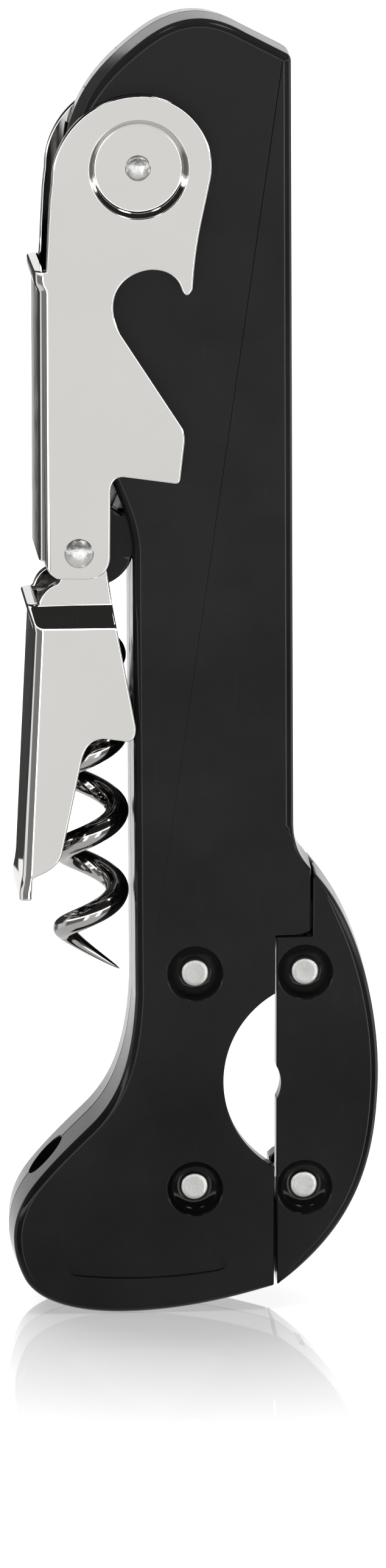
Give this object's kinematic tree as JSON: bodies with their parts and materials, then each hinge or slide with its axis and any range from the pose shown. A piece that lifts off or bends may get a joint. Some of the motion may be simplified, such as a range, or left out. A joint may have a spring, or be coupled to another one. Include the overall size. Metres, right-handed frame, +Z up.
{
  "type": "lever corkscrew",
  "caption": "Two-step lever corkscrew with a folding worm, notched bottle-opener lever and a hinged foil cutter with cutting wheels built into the handle's foot.",
  "frame": {"origin": "middle of the underside: the handle's butt stands on Z = 0, X and Y are the middle of the whole object", "axes": "+Z up the handle towards the lever pivot, +X towards the foil cutter's jaw, +Y through the handle's depth towards its rear face; the levers and worm fold along -X"},
  "size_m": [0.0404, 0.018, 0.1436],
  "materials": {
    "handle_plastic": "moulded black plastic with a soft gloss",
    "lever_steel": "bright plated sheet steel",
    "worm_steel": "polished dark plated wire",
    "pin_steel": "satin steel",
    "wheel_steel": "hardened ground steel"
  },
  "bodies": {
    "handle": {"handle_shell_front": "handle_plastic", "handle_shell_rear": "handle_plastic", "core_plate": "pin_steel", "lever_pivot_bush": "pin_steel", "lever_pivot_rivet": "pin_steel", "worm_pivot_pin": "pin_steel", "worm_spring": "pin_steel", "jaw_hinge_pin": "pin_steel", "jaw_spring": "pin_steel", "wheel_pin_upper_left": "pin_steel", "wheel_pin_lower_left": "pin_steel"},
    "upper_lever": {"upper_lever": "lever_steel", "lever_joint_rivet_front": "pin_steel", "lever_joint_rivet_rear": "pin_steel"},
    "lower_lever": {"lower_lever": "lever_steel"},
    "worm": {"worm": "worm_steel"},
    "jaw": {"jaw_shell_front": "handle_plastic", "jaw_shell_rear": "handle_plastic", "jaw_arm": "pin_steel", "jaw_guide_tongue": "handle_plastic", "wheel_pin_upper_right": "pin_steel", "wheel_pin_lower_right": "pin_steel"},
    "wheel_upper_left": {"cutter_wheel_upper_left": "wheel_steel"},
    "wheel_lower_left": {"cutter_wheel_lower_left": "wheel_steel"},
    "wheel_upper_right": {"cutter_wheel_upper_right": "wheel_steel"},
    "wheel_lower_right": {"cutter_wheel_lower_right": "wheel_steel"}
  },
  "joints": [
    {"name": "upper_lever_hinge", "type": "hinge", "parent": "handle", "child": "upper_lever", "pos_m": [-0.00635, 0, 0.1276], "axis": [0, 1, 0], "range_deg": [0, 120]},
    {"name": "lower_lever_hinge", "type": "hinge", "parent": "upper_lever", "child": "lower_lever", "pos_m": [-0.0129, 0, 0.0858], "axis": [0, 1, 0], "range_deg": [0, 25]},
    {"name": "worm_hinge", "type": "hinge", "parent": "handle", "child": "worm", "pos_m": [-0.0113, 0, 0.0862], "axis": [0, 1, 0], "range_deg": [0, 90]},
    {"name": "jaw_hinge", "type": "hinge", "parent": "handle", "child": "jaw", "pos_m": [0.0098, 0, 0.0496], "axis": [0, -1, 0], "range_deg": [0, 35], "stiffness_Nm_per_rad": 0.03, "springref_deg": -20.05, "deforming": ["jaw_spring"]},
    {"name": "wheel_upper_left_spin", "type": "hinge", "parent": "handle", "child": "wheel_upper_left", "pos_m": [-0.00015, 0, 0.0385], "axis": [0, 1, 0], "continuous": true},
    {"name": "wheel_lower_left_spin", "type": "hinge", "parent": "handle", "child": "wheel_lower_left", "pos_m": [-0.00015, 0, 0.0141], "axis": [0, 1, 0], "continuous": true},
    {"name": "wheel_upper_right_spin", "type": "hinge", "parent": "jaw", "child": "wheel_upper_right", "pos_m": [0.012, 0, 0.0385], "axis": [0, 1, 0], "continuous": true},
    {"name": "wheel_lower_right_spin", "type": "hinge", "parent": "jaw", "child": "wheel_lower_right", "pos_m": [0.012, 0, 0.0141], "axis": [0, 1, 0], "continuous": true}
  ],
  "couplings": [
    {"joint": "worm_hinge", "follows": "upper_lever_hinge", "ratio": 0.75}
  ]
}
